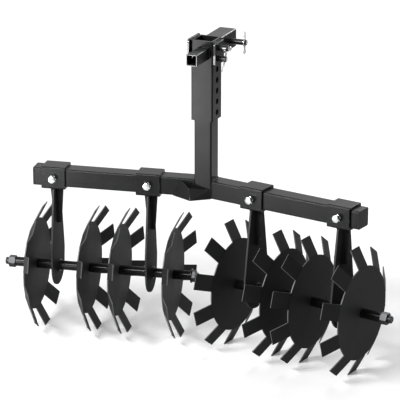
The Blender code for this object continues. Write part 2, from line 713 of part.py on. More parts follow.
clear_scene()
STAND = empty("stand", (0, -footprint_middle(), 0))
HEAD_FRAME = empty("head_frame", (0, 0, 0), parent=STAND)
BEAM_FRAME = {}
SHAFT_FRAME = {}
for half in (-1, 1):
    start = (0, BEAM_FORWARD)
    BEAM_FRAME[half] = empty(f"beam_frame_{side_name(half)}", (*start, BEAM_Z), -half * SWEEP, STAND)
    SHAFT_FRAME[half] = empty(f"shaft_frame_{side_name(half)}", (*start, SHAFT_Z), -half * SWEEP, STAND)

mast()
gusset()
sleeve()
drawbar()
accessory_tube()

for half in (-1, 1):
    beam(half)
    end_cap(half)
    side_plate(half)
    shaft(half)
    spacers(half)
    washer_and_nuts(half)
    for index, reach in enumerate(COLLAR_PLACES):
        number = 2 - index if half < 0 else 3 + index
        collar(half, number, reach)
        set_bolt(half, number, reach)
        leg(half, number, reach)
        bush(half, number, reach)
    for index, reach in enumerate(HUB_PLACES):
        disc(half, 4 - index if half < 0 else 5 + index, reach)

PLATE_SEAT = -PLATE_OUTER - SEAT_GAP
LOWER_CLIP_X = PLATE_OUTER + PIN_END_PLAY + CLIP_WIRE / 2
UPPER_CLIP_X = LOWER_CLIP_X + UPPER_PIN_EXTRA
HITCH_CLIP_X = DRAWBAR_SIZE / 2 + HITCH_PIN_REACH - HITCH_PIN_NOSE - CLIP_WIRE / 2
for label, height, clip_x, tilt, slip in (
    ("upper", TOP_HOLE_Z, UPPER_CLIP_X, UPPER_CLIP_TILT, 0.0),
    ("lower", LOW_PIN_Z, LOWER_CLIP_X, LOWER_CLIP_TILT, LOWER_CLIP_SHIFT),
):
    pin_frame = empty(f"height_pin_{label}_axis", (0, 0, height), parent=HEAD_FRAME)
    pin(f"height_pin_{label}", pin_frame, PLATE_SEAT, clip_x, PIN_NOSE, tilt)
    clip(f"height_clip_{label}", pin_frame, clip_x, tilt, slip)

hitch_frame = empty("hitch_pin_axis", (0, HITCH_PIN_Y, DRAWBAR_Z), parent=HEAD_FRAME)
pin("hitch_pin", hitch_frame, -DRAWBAR_SIZE / 2 - SEAT_GAP, HITCH_CLIP_X, HITCH_PIN_NOSE, 0.0)
clip("hitch_clip", hitch_frame, HITCH_CLIP_X, 0.0)
bpy.context.view_layer.update()
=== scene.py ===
"""Looks of the tow-behind disc harrow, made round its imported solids.

X points right and Y forward, the way the harrow is towed. Z is up from the ground.
Each half of the harrow has a turned frame, whose x runs along its gang towards the right.
"""

import json
from math import acos, asin, atan2, cos, pi, radians, sin, sqrt, tan

import bmesh
import bpy
import numpy as np
from mathutils import Matrix, Vector


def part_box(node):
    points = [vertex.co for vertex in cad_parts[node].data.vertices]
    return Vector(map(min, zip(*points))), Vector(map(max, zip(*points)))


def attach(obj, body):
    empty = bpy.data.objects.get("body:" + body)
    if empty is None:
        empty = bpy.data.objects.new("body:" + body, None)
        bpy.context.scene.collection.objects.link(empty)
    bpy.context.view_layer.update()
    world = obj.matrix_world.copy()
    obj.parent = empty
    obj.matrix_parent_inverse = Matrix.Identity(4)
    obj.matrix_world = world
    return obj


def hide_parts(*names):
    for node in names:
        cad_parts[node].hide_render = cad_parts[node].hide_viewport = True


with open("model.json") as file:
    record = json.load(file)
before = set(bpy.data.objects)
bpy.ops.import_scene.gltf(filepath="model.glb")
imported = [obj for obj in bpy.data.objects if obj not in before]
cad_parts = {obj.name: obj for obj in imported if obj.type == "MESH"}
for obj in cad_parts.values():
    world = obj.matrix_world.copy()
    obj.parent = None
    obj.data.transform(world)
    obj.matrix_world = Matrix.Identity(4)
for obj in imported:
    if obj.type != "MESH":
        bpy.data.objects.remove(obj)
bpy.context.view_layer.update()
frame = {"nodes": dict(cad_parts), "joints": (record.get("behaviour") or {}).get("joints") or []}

# Sizes shared with the solids
SWEEP = radians(10.0)
SEAT = 0.0003
DISC_RADIUS = 0.1778
DISC_THICKNESS = 0.003
DISC_DEPTH = 0.0262
FOLD = 0.1288
FINGERS = 10
FINGER_WIDTH = 0.045
NOTCH_DEPTH = 0.0483
HUBS = (0.0972, 0.2512, 0.3398, 0.4922)
ROD = 0.0105
SPACER = 0.01335
SPACER_START = 0.045
SPACER_END = 0.5535
NUT_FLATS = 0.030
OUTER_NUT = 0.020
INNER_NUT = 0.0115
WASHER = 0.020
WASHER_THICKNESS = 0.003
OUTER_STUB = 0.0107
INNER_STUB = 0.0075
TUBE = 0.0508
BEAM_WALL = 0.0032
PLUG_LENGTH = 0.016
PLUG_SETBACK = 0.0099
BEAM_END = 0.4905
CAP = 0.005
COLLAR = 0.0635
COLLAR_LENGTH = 0.068
COLLARS = (0.1605, 0.4312)
BOLT = 0.006
BOLT_FLATS = 0.019
BOLT_HEAD = 0.0075
LOCK_NUT = 0.006
LOCK_NUT_STANDOFF = 0.0015
BOLT_PITCH = 0.00175
SHAFT_PITCH = 0.0020
LEG = 0.00635
LEG_TOP_WIDTH = 0.0635
LEG_FLARE = Vector((0.060, 0.037))
LEG_FOOT = 0.0555
RIB = 0.006
RIB_TOP = 0.0175
RIB_FOOT = 0.0105
BACK_RIB_TOP = 0.0136
BACK_RIB_FOOT = 0.0040
RIB_FOOT_HEIGHT = 0.128
BUSH = 0.017
BUSH_LENGTH = 0.018
MAST_WALL = 0.0048
SLEEVE = 0.0635
SLEEVE_BORE = 0.0514
PIN = 0.008
PIN_HOLE = 0.0083
HOLE_PITCH = 0.030
HOLE_COUNT = 7
MAST_HOLES = 2
DRAWBAR_WALL = 0.0048
HITCH_PIN_SETBACK = 0.040
ACCESSORY = 0.03175
ACCESSORY_WALL = 0.003
ACCESSORY_HOLE = 0.0045
ACCESSORY_HOLE_SETBACK = 0.0355
PIN_HEAD = 0.012
PIN_HEAD_THICKNESS = 0.006
CLIP_WIRE = 0.0015
CLIP_LENGTH = 0.066
CLIP_BULB = 0.0052
CLIP_NECK = 0.0042
CLIP_WAIST = 0.01088
CLIP_SPAN = 0.032
CLIP_FLARE = 0.0025
CLIP_TAIL = 0.004
CLIP_HOLE = 0.0018

# Roundings and steps that only the looks have
BEAM_CORNER = 0.0045
MAST_CORNER = 0.0042
SLEEVE_CORNER = 0.0040
COLLAR_CORNER = 0.0050
DRAWBAR_CORNER = 0.0045
ACCESSORY_CORNER = 0.0032
MAST_BORE_CORNER = 0.002
SLEEVE_BORE_CORNER = 0.001
COLLAR_BORE_CORNER = 0.001
DRAWBAR_BORE_CORNER = 0.0015
ACCESSORY_BORE_CORNER = 0.0008
MAST_SLOT_CORNER = 0.0005
PLUG_CORNER = 0.0026
RIM = 0.0007
PLATE_RIM = 0.0009
BLADE_RIM = 0.0006
ACCESSORY_RIM = 0.0006
GUSSET_RIM = 0.0012
PLUG_RIM = 0.0018
BUSH_EDGE = 0.0008
SPACER_EDGE = 0.0006
WASHER_EDGE = 0.0005
HEX_LIP = 0.0006
HEX_CROWN = 0.955
CORNER_STEPS = 8
ROUND_STEPS = 48
HOLE_STEPS = 32
HEX_STEPS = 72
BULB_STEPS = 26
WAIST_STEPS = 36
FOLD_ROUNDING = 0.0026
WIRE_END = (0.0, 0.35), (0.0007, 0.85), (0.0016, 1.0)

# Weld beads and threads
BEAD = 0.0021
RIPPLE_SPACING = 0.0018
RIPPLE_UNEVENNESS = 0.12
SEAM_INSET = 0.004
RIDGE_SHARE = 0.36

# Marks for the faces of a mesh while it is made
BODY, RIMS, CUT = 0, 1, 2

# Places that come from the solids
AXLE = Vector(next(joint["pos_m"] for joint in frame["joints"] if joint["name"] == "gang_left_spin"))


def middle(node):
    low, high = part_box(node)
    return (low + high) / 2


MAST = middle("mast_tube")
BEAM_Z = middle("beam_left").z
BEAM_RISE = BEAM_Z - AXLE.z
SIDES = {"left": -1, "right": 1}
HERE = Matrix.Identity(4)


def along_gang(side, reach, height):
    """Frame of a place along one half of the harrow, with x along the gang."""
    turn = Matrix.Rotation(-side * SWEEP, 4, "Z")
    return Matrix.Translation((0, AXLE.y, height)) @ turn @ Matrix.Translation((side * reach, 0, 0))


# Meshes
def mesh_of(name, shape, outward=False):
    """Mesh of a finished bmesh, with its faces turned outwards if asked."""
    if outward:
        bmesh.ops.recalc_face_normals(shape, faces=shape.faces)
    made = bpy.data.meshes.new(name)
    shape.to_mesh(made)
    shape.free()
    return made


def arc(radius, start, end, steps, centre=(0.0, 0.0)):
    turns = [start + (end - start) * step / steps for step in range(steps + 1)]
    return [(centre[0] + radius * cos(turn), centre[1] + radius * sin(turn)) for turn in turns]


def full_turn(steps):
    return [2 * pi * step / steps for step in range(steps)]


def circle(radius, steps):
    return [(radius * cos(turn), radius * sin(turn)) for turn in full_turn(steps)]


def round_square(size, corner):
    """Square with rounded corners, anticlockwise, always with the same number of points."""
    points = []
    for quarter, (sign_x, sign_y) in enumerate(((1, 1), (-1, 1), (-1, -1), (1, -1))):
        turn = quarter * pi / 2
        centre = (sign_x * (size / 2 - corner), sign_y * (size / 2 - corner))
        points += arc(corner, turn, turn + pi / 2, CORNER_STEPS, centre)
    return points


# Turns that carry an outline's plane to the plane across an axis
ACROSS = {
    "X": Matrix(((0, 0, 1, 0), (1, 0, 0, 0), (0, 1, 0, 0), (0, 0, 0, 1))),
    "Y": Matrix(((1, 0, 0, 0), (0, 0, -1, 0), (0, 1, 0, 0), (0, 0, 0, 1))),
    "Z": HERE,
}


def band(shape, first, second, mark=BODY):
    """Marked faces between two rings with as many points each."""
    for index in range(len(first)):
        after = (index + 1) % len(first)
        face = shape.faces.new((first[index], first[after], second[after], second[index]))
        face.material_index = mark


def tube_shape(size, corner, bore, bore_corner, length, axis, sawn=False):
    """Square tube with open ends, centred on its own middle. Sawn ends are marked as cut faces."""
    shape = bmesh.new()
    rings = []
    for outline in (round_square(size, corner), round_square(bore, bore_corner)):
        for end in (-length / 2, length / 2):
            rings.append([shape.verts.new((x, y, end)) for x, y in outline])
    outer_low, outer_high, inner_low, inner_high = rings
    band(shape, outer_low, outer_high)
    band(shape, outer_high, inner_high, CUT if sawn else BODY)
    band(shape, inner_high, inner_low)
    band(shape, inner_low, outer_low, CUT if sawn else BODY)
    tube = mesh_of("tube", shape, outward=True)
    tube.transform(ACROSS[axis])
    return tube


def slab_shape(outline, depth, axis, cut=False):
    """Flat outline made as thick as depth. The faces round a cut outline are marked as cut faces."""
    shape = bmesh.new()
    lower = [shape.verts.new((x, y, -depth / 2)) for x, y in outline]
    upper = [shape.verts.new((x, y, depth / 2)) for x, y in outline]
    band(shape, lower, upper, CUT if cut else BODY)
    shape.faces.new(lower[::-1])
    shape.faces.new(upper)
    slab = mesh_of("slab", shape, outward=True)
    slab.transform(ACROSS[axis])
    return slab


def lathe_shape(profile, steps=ROUND_STEPS, closed=False, sawn=False):
    """Turn a profile of (place along X, radius) about X. A radius of 0 makes a pole.

    The last face of a sawn profile is marked as a cut face.
    """
    shape = bmesh.new()
    rings = []
    for place, radius in profile:
        turns = full_turn(steps)[:steps if radius > 0 else 1]
        rings.append([shape.verts.new((place, radius * cos(turn), radius * sin(turn))) for turn in turns])
    for first, second in zip(rings, rings[1:] + (rings[:1] if closed else [])):
        for index in range(steps):
            after = (index + 1) % steps
            corners = [
                first[index % len(first)], first[after % len(first)],
                second[after % len(second)], second[index % len(second)],
            ]
            corners = list(dict.fromkeys(corners))
            if len(corners) > 2:
                face = shape.faces.new(corners)
                face.material_index = CUT if sawn and second is rings[-1] else BODY
    return mesh_of("lathe", shape, outward=True)


def hex_shape(start, end, flats, bore=0.0, crowned=(True, True)):
    """Hexagon along X with its corners chamfered to a round face, bored if bore is not 0."""
    crown = flats / 2 * HEX_CROWN
    turns = full_turn(HEX_STEPS)
    outside = [flats / 2 / cos((turn + pi / 6) % (pi / 3) - pi / 6) for turn in turns]
    shape = bmesh.new()

    def ring(places, radii):
        return [shape.verts.new((x, r * cos(t), r * sin(t))) for x, r, t in zip(places, radii, turns)]

    ends = []
    for face, inward, round_face in ((start, 1, crowned[0]), (end, -1, crowned[1])):
        slope = tan(radians(30.0)) if round_face else 0.0
        flat = [face] * HEX_STEPS
        rim = ring([face + inward * slope * (radius - crown) for radius in outside], outside)
        rings = [rim, ring(flat, [crown] * HEX_STEPS)]
        if bore:
            rings.append(ring(flat, [bore + HEX_LIP] * HEX_STEPS))
            rings.append(ring([face + inward * HEX_LIP] * HEX_STEPS, [bore] * HEX_STEPS))
        ends.append(rings)
    order = ends[0][::-1] + ends[1]
    for first, second in zip(order, order[1:] + (order[:1] if bore else [])):
        band(shape, first, second)
    if not bore:
        shape.faces.new(order[0])
        shape.faces.new(order[-1])
    return mesh_of("hexagon", shape, outward=True)


def drill(radius, length, axis="X", centre=(0, 0, 0), steps=HOLE_STEPS, cut=False):
    """Round cutter."""
    made = slab_shape(circle(radius, steps), length, axis, cut)
    made.transform(Matrix.Translation(centre))
    return made


def cleaned(mesh, gap, bend=0.0):
    """Bmesh of a mesh without doubled points or edges that bend less than an angle."""
    shape = bmesh.new()
    shape.from_mesh(mesh)
    bmesh.ops.remove_doubles(shape, verts=shape.verts, dist=gap)
    if bend:
        bmesh.ops.dissolve_limit(shape, angle_limit=bend, verts=shape.verts, edges=shape.edges)
    return shape


def merged(meshes):
    shape = bmesh.new()
    for mesh in meshes:
        shape.from_mesh(mesh)
    return mesh_of("merged", shape)


def placed(name, data):
    """New object in the scene."""
    made = bpy.data.objects.new(name, data)
    bpy.context.scene.collection.objects.link(made)
    return made


def evaluated_mesh(made):
    """Plain mesh of an object with its modifiers applied. The object goes."""
    bpy.context.view_layer.update()
    graph = bpy.context.evaluated_depsgraph_get()
    source = made.evaluated_get(graph)
    mesh = bpy.data.meshes.new_from_object(source, preserve_all_data_layers=True, depsgraph=graph)
    bpy.data.objects.remove(made, do_unlink=True)
    return mesh


def name_faces(mesh):
    """Give a mesh the slots that its body, rounded rims and cut faces are marked with."""
    if not mesh.materials:
        for name in ("body", "rim", "cut"):
            mesh.materials.append(bpy.data.materials.get(name) or bpy.data.materials.new(name))


def fettled(mesh, cuts=(), joins=(), rim=0.0, segments=2, rim_angle=radians(40.0)):
    """Cut, join and round off a mesh, and mark its rounded rims and its cut faces in face attributes."""
    name_faces(mesh)
    made = placed("blank", mesh)
    tools = []
    for operation, others in (("DIFFERENCE", cuts), ("UNION", joins)):
        for other in others:
            tool = placed("tool", other)
            tools.append(tool)
            cutting = made.modifiers.new("cut", "BOOLEAN")
            cutting.object = tool
            cutting.operation = operation
            cutting.solver = "EXACT"
    if rim:
        rounding = made.modifiers.new("rim", "BEVEL")
        rounding.width = rim
        rounding.segments = segments
        rounding.limit_method = "ANGLE"
        rounding.angle_limit = rim_angle
        rounding.material = RIMS
    result = evaluated_mesh(made)
    for tool in tools:
        bpy.data.objects.remove(tool, do_unlink=True)
    marks = np.zeros(len(result.polygons), np.int32)
    result.polygons.foreach_get("material_index", marks)
    for name, mark in (("rim", RIMS), ("cut", CUT)):
        marked = result.attributes.new(name, "FLOAT", "FACE")
        marked.data.foreach_set("value", (marks == mark).astype(np.float32))
    result.polygons.foreach_set("material_index", np.zeros(len(marks), np.int32))
    return result


def piece(name, mesh, finish, body, place=HERE, added=False, sharp=radians(38.0), weighted=True):
    """Put a finished mesh on its body, in place of the node of its name unless it is added."""
    mesh.transform(place)
    mesh.materials.clear()
    mesh.materials.append(finish.material)
    mesh.shade_smooth()
    mesh.set_sharp_from_angle(angle=sharp)
    if weighted:
        made = placed("blank", mesh)
        smoothing = made.modifiers.new("faces", "WEIGHTED_NORMAL")
        smoothing.keep_sharp = True
        mesh = evaluated_mesh(made)
    mesh.name = name
    made = placed(name, mesh)
    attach(made, body)
    if not added:
        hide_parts(name)
    return made


# Finishes
def set_inputs(made, **values):
    """Set a node's plain inputs by name."""
    for label, value in values.items():
        made.inputs[label.replace("_", " ")].default_value = value
    return made


def node(tree, kind, **values):
    """Add a node with plain inputs."""
    return set_inputs(tree.nodes.new(kind), **values)


def feed(tree, socket, value):
    """Give a socket a number or another node's output."""
    if isinstance(value, bpy.types.NodeSocket):
        tree.links.new(value, socket)
    else:
        socket.default_value = value


def maths(tree, operation, *values):
    made = tree.nodes.new("ShaderNodeMath")
    made.operation = operation
    for socket, value in zip(made.inputs, values):
        feed(tree, socket, value)
    return made.outputs[0]


def effect_group(name, inputs, outputs=("Mask",)):
    """Empty shader group with named inputs and outputs."""
    tree = bpy.data.node_groups.new(name, "ShaderNodeTree")
    for label, value in inputs.items():
        tree.interface.new_socket(label, in_out="INPUT", socket_type="NodeSocketFloat").default_value = value
    for label in outputs:
        tree.interface.new_socket(label, in_out="OUTPUT", socket_type="NodeSocketFloat")
    return tree, tree.nodes.new("NodeGroupInput").outputs, tree.nodes.new("NodeGroupOutput").inputs


def own_place(tree):
    return tree.nodes.new("ShaderNodeTexCoord").outputs["Object"]


def noise_of(tree, scale, detail, roughness=0.5, place=None):
    """Noise on the piece's own coordinates, or on a place made from them."""
    noise = node(tree, "ShaderNodeTexNoise", Detail=detail, Roughness=roughness)
    tree.links.new(place or own_place(tree), noise.inputs["Vector"])
    feed(tree, noise.inputs["Scale"], scale)
    return noise.outputs["Fac"]


def stretch(tree, value, low, high, to_low=0.0, to_high=1.0):
    """Map a value from one range to another, with no overshoot."""
    made = tree.nodes.new("ShaderNodeMapRange")
    tree.links.new(value, made.inputs["Value"])
    for label, number in (("From Min", low), ("From Max", high), ("To Min", to_low), ("To Max", to_high)):
        feed(tree, made.inputs[label], number)
    return made.outputs[0]


def marked_faces(tree, name):
    """Mask of the faces that carry a mark."""
    made = tree.nodes.new("ShaderNodeAttribute")
    made.attribute_name = name
    return made.outputs["Fac"]


def grain_group():
    """Fine pebbled skin of a baked or moulded surface, and its slow mottling."""
    sizes = {"Grain per metre": 900.0, "Mottle per metre": 14.0}
    tree, given, wanted = effect_group("surface_grain", sizes, ("Height", "Mottle"))
    fine = noise_of(tree, given["Grain per metre"], 2.0, 0.55)
    coarse = noise_of(tree, maths(tree, "MULTIPLY", given["Grain per metre"], 0.23), 1.0)
    tree.links.new(maths(tree, "MULTIPLY_ADD", coarse, 0.45, fine), wanted["Height"])
    tree.links.new(noise_of(tree, given["Mottle per metre"], 3.0), wanted["Mottle"])
    return tree


def rub_group():
    """Where rounded rims have been rubbed bright, in broken patches."""
    tree, given, wanted = effect_group("rim_rub", {"Amount": 0.5, "Patches per metre": 60.0})
    patches = noise_of(tree, given["Patches per metre"], 4.0, 0.6)
    start = maths(tree, "SUBTRACT", 0.75, maths(tree, "MULTIPLY", given["Amount"], 0.45))
    end = maths(tree, "ADD", start, 0.18)
    broken = stretch(tree, patches, start, end)
    tree.links.new(maths(tree, "MULTIPLY", broken, marked_faces(tree, "rim")), wanted["Mask"])
    return tree


def cut_highlight_group():
    """Painted highlight on sawn and laser-cut faces, partly bare steel through thin paint, with painted shade
    fading it out towards the ground.
    """
    levels = {"Amount": 0.8, "Dark below": 0.20, "Bright above": 0.36}
    tree, given, wanted = effect_group("cut_face_highlight", levels)
    split = tree.nodes.new("ShaderNodeSeparateXYZ")
    tree.links.new(own_place(tree), split.inputs[0])
    height = stretch(tree, split.outputs["Z"], given["Dark below"], given["Bright above"])
    shine = maths(tree, "MULTIPLY", height, given["Amount"])
    tree.links.new(maths(tree, "MULTIPLY", shine, marked_faces(tree, "cut")), wanted["Mask"])
    return tree


def scuff_group():
    """Thin handling marks, fine and sparse."""
    tree, given, wanted = effect_group("fine_scuffs", {"Marks per metre": 40.0, "Amount": 0.3})
    turn = node(tree, "ShaderNodeMapping", Rotation=(0.7, 0.3, 0.9), Scale=(1.0, 9.0, 1.0))
    tree.links.new(own_place(tree), turn.inputs["Vector"])
    marks = noise_of(tree, given["Marks per metre"], 3.0, 0.7, turn.outputs[0])
    start = maths(tree, "SUBTRACT", 0.78, maths(tree, "MULTIPLY", given["Amount"], 0.3))
    tree.links.new(stretch(tree, marks, start, 0.9), wanted["Mask"])
    return tree


EFFECTS = {"grain": grain_group(), "rub": rub_group(), "cut": cut_highlight_group(), "scuff": scuff_group()}
# Colours of cut faces and sawn ends: painted highlights, partly bare steel
CUT_STEEL_HIGHLIGHT = (0.20, 0.20, 0.205)
SAWN_END_HIGHLIGHT = (0.62, 0.62, 0.63)
RUBBED_PAINT = (0.14, 0.14, 0.145)
SCUFFED_PAINT = 2.2
SCUFFED_METAL = 0.7


class Finish:
    """A material and the record's slot that it stands for."""

    def __init__(self, name, slot, colour, roughness, metallic, specular=0.5):
        self.slot = slot
        self.material = bpy.data.materials.new(name)
        self.material.use_nodes = True
        self.tree = self.material.node_tree
        self.shader = self.tree.nodes["Principled BSDF"]
        set_inputs(self.shader, Metallic=metallic, Specular_IOR_Level=specular)
        self.colour = colour
        self.roughness = roughness

    def effect(self, name, **values):
        made = self.tree.nodes.new("ShaderNodeGroup")
        made.node_tree = EFFECTS[name]
        return set_inputs(made, **values).outputs

    def colours(self, mottle, spread, *layers):
        """Base colour mottled by a share, with layers of (mask, colour) on it."""
        tree = self.tree
        ramp = stretch(tree, mottle, 0.3, 0.7, 1.0 - spread, 1.0 + spread)
        scale = tree.nodes.new("ShaderNodeVectorMath")
        scale.operation = "SCALE"
        scale.inputs[0].default_value = self.colour
        tree.links.new(ramp, scale.inputs["Scale"])
        colour = scale.outputs[0]
        for mask, over in layers:
            mix = tree.nodes.new("ShaderNodeMix")
            mix.data_type = "RGBA"
            tree.links.new(mask, mix.inputs[0])
            tree.links.new(colour, mix.inputs[6])
            mix.inputs[7].default_value = (*over, 1.0)
            colour = mix.outputs[2]
        tree.links.new(colour, self.shader.inputs["Base Color"])

    def roughen(self, mottle, spread, *layers):
        """Roughness varied by the mottle, with layers of (mask, change) on it."""
        value = stretch(self.tree, mottle, 0.3, 0.7, self.roughness - spread, self.roughness + spread)
        for mask, change in layers:
            value = maths(self.tree, "MULTIPLY_ADD", mask, change, value)
        self.tree.links.new(value, self.shader.inputs["Roughness"])

    def bump(self, height, depth, strength):
        made = node(self.tree, "ShaderNodeBump", Strength=strength, Distance=depth)
        self.tree.links.new(height, made.inputs["Height"])
        self.tree.links.new(made.outputs[0], self.shader.inputs["Normal"])


def painted(name, slot, colour, roughness, grain, depth, rub, specular, cut=(0.5, 0.20, 0.36)):
    """Black paint over steel: pebbled skin, soft mottling, rims rubbed to a lighter grey, faint scuffs.

    Cut faces carry a painted highlight by a share, partly bare steel, with painted shade from a height where
    they are dark to one where they are bright.
    """
    made = Finish(name, slot, colour, roughness, 0.0, specular)
    skin = made.effect("grain", Grain_per_metre=grain)
    rubbed = made.effect("rub", Amount=rub)["Mask"]
    scuffs = made.effect("scuff")["Mask"]
    # Painted highlight on cut faces, in colour and metallic, with painted shade below a height
    highlight_mask = made.effect("cut", Amount=cut[0], Dark_below=cut[1], Bright_above=cut[2])["Mask"]
    layers = (scuffs, tuple(SCUFFED_PAINT * c for c in colour)), (rubbed, RUBBED_PAINT), (highlight_mask, CUT_STEEL_HIGHLIGHT)
    made.colours(skin["Mottle"], 0.16, *layers)
    made.roughen(skin["Mottle"], 0.04, (rubbed, -0.08), (scuffs, -0.06), (highlight_mask, -0.06))
    made.tree.links.new(highlight_mask, made.shader.inputs["Metallic"])
    made.bump(skin["Height"], depth, 0.5)
    return made


def plated(name, slot, colour, roughness, spread):
    """Bare or plated metal with fine drawn grain, cloudy plating and sawn ends painted bright as a highlight,
    partly bare steel.
    """
    made = Finish(name, slot, colour, roughness, 1.0)
    skin = made.effect("grain", Grain_per_metre=1500.0, Mottle_per_metre=120.0)
    scuffs = made.effect("scuff", Marks_per_metre=300.0, Amount=0.5)["Mask"]
    # Painted highlight on sawn ends, the same at every height
    highlight_mask = made.effect("cut", Amount=1.0, Dark_below=-0.2, Bright_above=-0.1)["Mask"]
    made.colours(skin["Mottle"], spread, (scuffs, tuple(SCUFFED_METAL * c for c in colour)), (highlight_mask, SAWN_END_HIGHLIGHT))
    made.roughen(skin["Mottle"], 0.05, (scuffs, 0.12))
    made.bump(skin["Height"], 0.00003, 0.35)
    return made


# cut sets each finish's painted highlight on cut faces and the heights of its painted shade; the blades'
# highlight is the same at every height
COAT = painted(
    "black_powder_coat", "powder_coat", (0.006, 0.0061, 0.0063), roughness=0.23,
    grain=330.0, depth=0.00040, rub=0.35, specular=0.12,
)
PLATE_COAT = painted(
    "black_coat_on_plate", "powder_coat", (0.013, 0.0132, 0.0136), roughness=0.58,
    grain=700.0, depth=0.00010, rub=0.35, specular=0.08, cut=(0.16, 0.12, 0.40),
)
BLADE = painted(
    "black_blade_paint", "disc_steel", (0.013, 0.0132, 0.0136), roughness=0.58,
    grain=1300.0, depth=0.00005, rub=0.55, specular=0.09, cut=(0.4, -0.2, -0.1),
)
ZINC = plated("bright_zinc_plate", "zinc", (0.54, 0.55, 0.56), roughness=0.22, spread=0.08)
STEEL = plated("oiled_dark_steel", "dark_steel", (0.034, 0.0345, 0.036), roughness=0.36, spread=0.12)
PLUG = painted(
    "moulded_black_plastic", "cap_plastic", (0.008, 0.0081, 0.0083), roughness=0.42,
    grain=1800.0, depth=0.00006, rub=0.0, specular=0.12,
)


# Geometry Nodes
def modifier_tree(name, **inputs):
    """Empty geometry tree with geometry in and out, and named inputs."""
    tree = bpy.data.node_groups.new(name, "GeometryNodeTree")
    tree.interface.new_socket("Geometry", in_out="INPUT", socket_type="NodeSocketGeometry")
    tree.interface.new_socket("Geometry", in_out="OUTPUT", socket_type="NodeSocketGeometry")
    for label, kind in inputs.items():
        tree.interface.new_socket(label.replace("_", " "), in_out="INPUT", socket_type=f"NodeSocket{kind}")
    return tree, tree.nodes.new("NodeGroupInput").outputs, tree.nodes.new("NodeGroupOutput").inputs


def end_tree(tree, geometry, given, wanted, smooth=False):
    """End a geometry tree with real geometry in the given finish, shaded smooth if asked."""
    kinds = ["RealizeInstances", "SetShadeSmooth", "SetMaterial"]
    for kind in kinds if smooth else kinds[::2]:
        made = tree.nodes.new(f"GeometryNode{kind}")
        tree.links.new(geometry, made.inputs["Geometry"])
        geometry = made.outputs["Geometry"]
    tree.links.new(given["Finish"], made.inputs["Material"])
    tree.links.new(geometry, wanted["Geometry"])


def weld_tree():
    """Overlapping ripples of weld metal along the edges of the mesh that it is given."""
    tree, given, wanted = modifier_tree(
        "weld_bead", Bead_radius="Float", Ripple_spacing="Float", Unevenness="Float", Seed="Int",
        Finish="Material",
    )
    new, link = tree.nodes.new, tree.links.new
    path = new("GeometryNodeMeshToCurve")
    even = new("GeometryNodeResampleCurve")
    even.mode = "LENGTH"
    ripple = node(tree, "GeometryNodeMeshIcoSphere", Subdivisions=2)
    lay = new("GeometryNodeInstanceOnPoints")
    sizes = new("FunctionNodeRandomValue")
    link(given["Geometry"], path.inputs["Mesh"])
    link(path.outputs["Curve"], even.inputs["Curve"])
    link(given["Ripple spacing"], even.inputs["Length"])
    link(even.outputs["Curve"], lay.inputs["Points"])
    link(given["Bead radius"], ripple.inputs["Radius"])
    link(ripple.outputs["Mesh"], lay.inputs["Instance"])
    link(maths(tree, "SUBTRACT", 1.0, given["Unevenness"]), sizes.inputs[2])
    link(maths(tree, "ADD", 1.0, given["Unevenness"]), sizes.inputs[3])
    link(given["Seed"], sizes.inputs["Seed"])
    link(sizes.outputs[1], lay.inputs["Scale"])
    end_tree(tree, lay.outputs["Instances"], given, wanted, smooth=True)
    return tree


def thread_tree():
    """Screw thread about Z: a ridge that climbs a rod, between two heights."""
    tree, given, wanted = modifier_tree(
        "screw_thread", Root_radius="Float", Pitch="Float", Turns="Float", Ridge="Float", Finish="Material",
    )
    link = tree.links.new
    climb = node(tree, "GeometryNodeCurveSpiral", Resolution=24)
    ridge = node(tree, "GeometryNodeCurvePrimitiveCircle", Resolution=4)
    sweep = node(tree, "GeometryNodeCurveToMesh", Fill_Caps=True)
    link(given["Root radius"], climb.inputs["Start Radius"])
    link(given["Root radius"], climb.inputs["End Radius"])
    link(given["Turns"], climb.inputs["Rotations"])
    link(maths(tree, "MULTIPLY", given["Pitch"], given["Turns"]), climb.inputs["Height"])
    link(given["Ridge"], ridge.inputs["Radius"])
    link(climb.outputs["Curve"], sweep.inputs["Curve"])
    link(ridge.outputs["Curve"], sweep.inputs["Profile Curve"])
    end_tree(tree, sweep.outputs["Mesh"], given, wanted)
    return tree


WELD_TREE = weld_tree()
THREAD_TREE = thread_tree()


def grown(mesh, tree, **values):
    """Plain mesh that a geometry tree makes of a mesh."""
    made = placed("blank", mesh)
    growing = made.modifiers.new("grow", "NODES")
    growing.node_group = tree
    sockets = {item.name: item.identifier for item in tree.interface.items_tree if item.in_out == "INPUT"}
    for label, value in values.items():
        growing[sockets[label.replace("_", " ")]] = value
    return evaluated_mesh(made)


def thread_mesh(radius, start, end, pitch, finish):
    """Threaded stretch of a rod along X."""
    blank = bpy.data.meshes.new("thread")
    made = grown(blank, THREAD_TREE, Root_radius=radius, Pitch=pitch, Turns=(end - start) / pitch,
                 Ridge=pitch * RIDGE_SHARE, Finish=finish.material)
    made.transform(Matrix.Translation((start, 0, 0)) @ Matrix.Rotation(pi / 2, 4, "Y"))
    return made


WELDS = {}


def weld(body, points, place=HERE, closed=False):
    """Note a seam to be welded, as a line of points."""
    WELDS.setdefault(body, []).append(([place @ Vector(point) for point in points], closed))


def weld_ring(body, radius, x, place):
    weld(body, [(x, y, z) for y, z in circle(radius, 40)], place, True)


def lay_welds():
    for index, body in enumerate(sorted(WELDS)):
        shape = bmesh.new()
        for points, closed in WELDS[body]:
            line = [shape.verts.new(point) for point in points]
            for first, second in zip(line, line[1:] + (line[:1] if closed else [])):
                shape.edges.new((first, second))
        made = grown(mesh_of("seams", shape), WELD_TREE, Bead_radius=BEAD, Ripple_spacing=RIPPLE_SPACING,
                     Unevenness=RIPPLE_UNEVENNESS, Seed=index, Finish=COAT.material)
        piece(f"welds_{body}", made, COAT, body, added=True, weighted=False)


